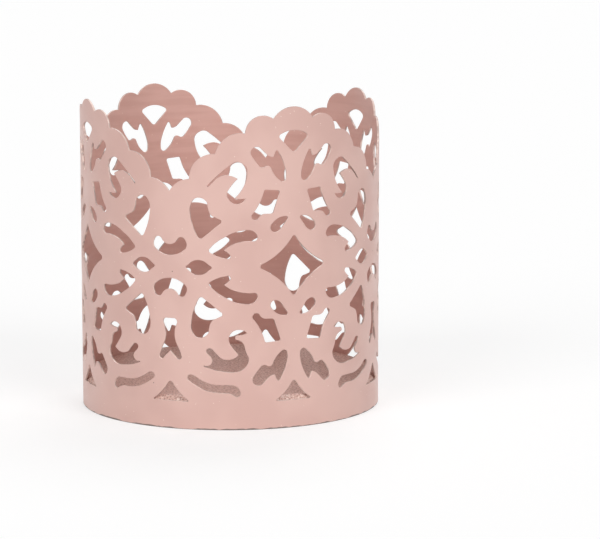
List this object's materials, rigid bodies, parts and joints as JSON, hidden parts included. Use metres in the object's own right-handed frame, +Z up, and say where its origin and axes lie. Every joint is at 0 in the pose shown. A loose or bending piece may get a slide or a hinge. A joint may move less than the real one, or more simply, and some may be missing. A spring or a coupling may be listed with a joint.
{
  "type": "candle ring",
  "caption": "Round lace-pierced sheet-metal sleeve with a scalloped, peaked rim and a raised floor plate: a free-standing holder that stands around a pillar candle.",
  "frame": {"origin": "middle of the ring on the plane that its bottom edge rests on", "axes": "+Z up along the sleeve's axis, the front petal's peak towards -Y and the other three peaks 94.1 degrees apart: the right and left ones 4.1 degrees behind +X and -X, the back one 8.3 degrees from +Y towards -X"},
  "size_m": [0.1, 0.1, 0.104],
  "materials": {
    "sleeve_coat": "satin dusty-pink powder coat with a fine orange peel",
    "plate_coat": "grainy, mottled brown-pink powder coat"
  },
  "bodies": {
    "root": {"lace_sleeve": "sleeve_coat", "floor_plate": "plate_coat"}
  },
  "joints": []
}
